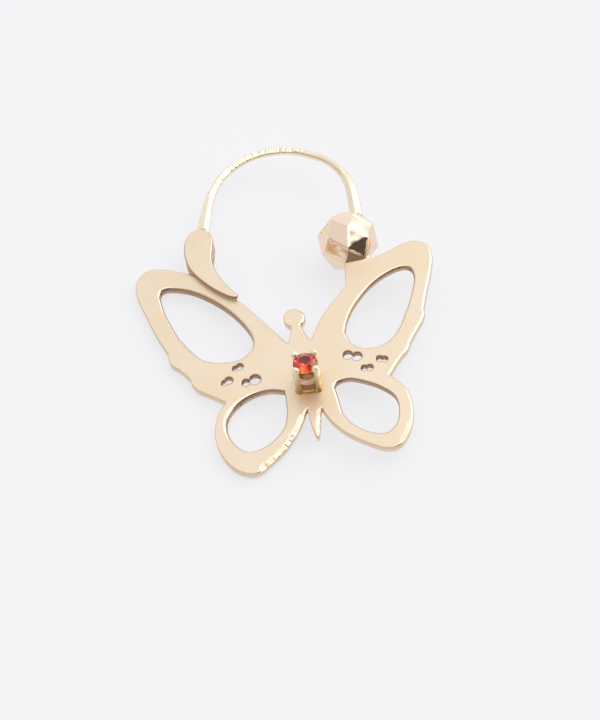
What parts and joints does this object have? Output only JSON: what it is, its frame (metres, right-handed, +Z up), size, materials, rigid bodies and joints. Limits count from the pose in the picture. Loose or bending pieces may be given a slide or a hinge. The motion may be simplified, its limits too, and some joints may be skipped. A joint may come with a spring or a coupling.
{
  "type": "butterfly earring",
  "caption": "Butterfly earring cut from gold sheet, with a claw-set red stone, a faceted catch ball and a hinged wire that clicks into it.",
  "frame": {"origin": "the point on the table under the middle of the earring's box, as it lies", "axes": "+Y from the tail to the top of the ear wire, +X towards the catch ball's side, +Z up from the table, out of the earring's front"},
  "size_m": [0.0256, 0.034, 0.0054],
  "materials": {
    "gold_satin": "satin 14-carat gold with polished edges",
    "gold_bright": "polished 14-carat gold",
    "garnet": "faceted and polished"
  },
  "bodies": {
    "jewel": {"butterfly": "gold_satin", "red_stone": "garnet", "hinge_rivet": "gold_bright"},
    "wire": {"ear_wire": "gold_bright"}
  },
  "joints": [
    {"name": "wire_hinge", "type": "hinge", "parent": "jewel", "child": "wire", "pos_m": [-0.00669, 0.00727, 0.00126], "axis": [-0.1103, -0.0345, 0.9933], "range_deg": [0, 80]}
  ]
}
